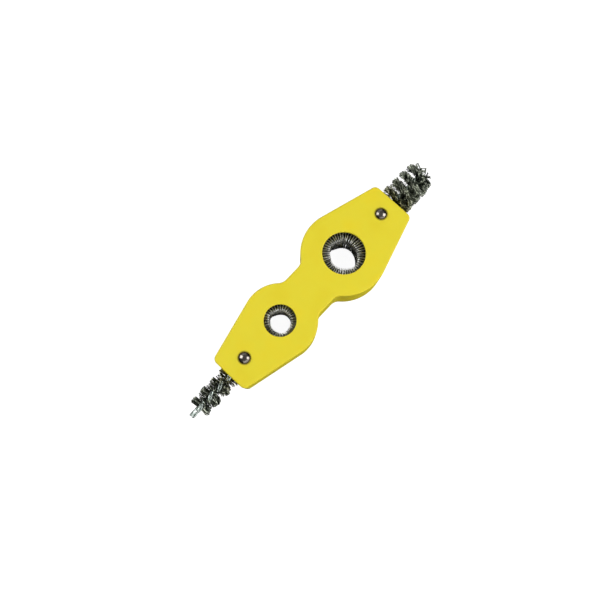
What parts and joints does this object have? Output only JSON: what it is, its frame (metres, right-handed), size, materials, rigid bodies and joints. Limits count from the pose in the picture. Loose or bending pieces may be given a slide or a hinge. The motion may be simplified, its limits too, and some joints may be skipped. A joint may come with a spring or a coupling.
{
  "type": "tube and fitting brush",
  "caption": "Hand tool with a waisted plastic body, brush-lined holes that scour tube ends, and a twisted-wire brush at each end that scours fitting sockets.",
  "frame": {"origin": "on the rear face, on the tool's middle line, halfway along its overall length", "axes": "+X along the tool from the small end to the large end, +Z through the thickness from the rear face to the front face with the rivet heads"},
  "size_m": [0.2297, 0.0578, 0.0262],
  "materials": {
    "yellow_plastic": "satin moulded plastic, slightly translucent",
    "strip_steel": "plain rolled strip and wire",
    "bristle_wire": "fine bristle wire, dark between the glints",
    "stem_wire": "bright drawn wire",
    "rivet_steel": "polished"
  },
  "bodies": {
    "root": {"front_shell": "yellow_plastic", "rear_shell": "yellow_plastic", "small_tube_coil_channel": "strip_steel", "small_tube_coil_bristles": "bristle_wire", "small_tube_coil_core_wire": "strip_steel", "small_stem_front_wire": "stem_wire", "small_stem_rear_wire": "stem_wire", "small_fitting_bristles": "bristle_wire", "small_rivet": "rivet_steel", "small_rivet_washer": "rivet_steel", "large_tube_coil_channel": "strip_steel", "large_tube_coil_bristles": "bristle_wire", "large_tube_coil_core_wire": "strip_steel", "large_stem_front_wire": "stem_wire", "large_stem_rear_wire": "stem_wire", "large_fitting_bristles": "bristle_wire", "large_rivet": "rivet_steel", "large_rivet_washer": "rivet_steel"}
  },
  "joints": []
}
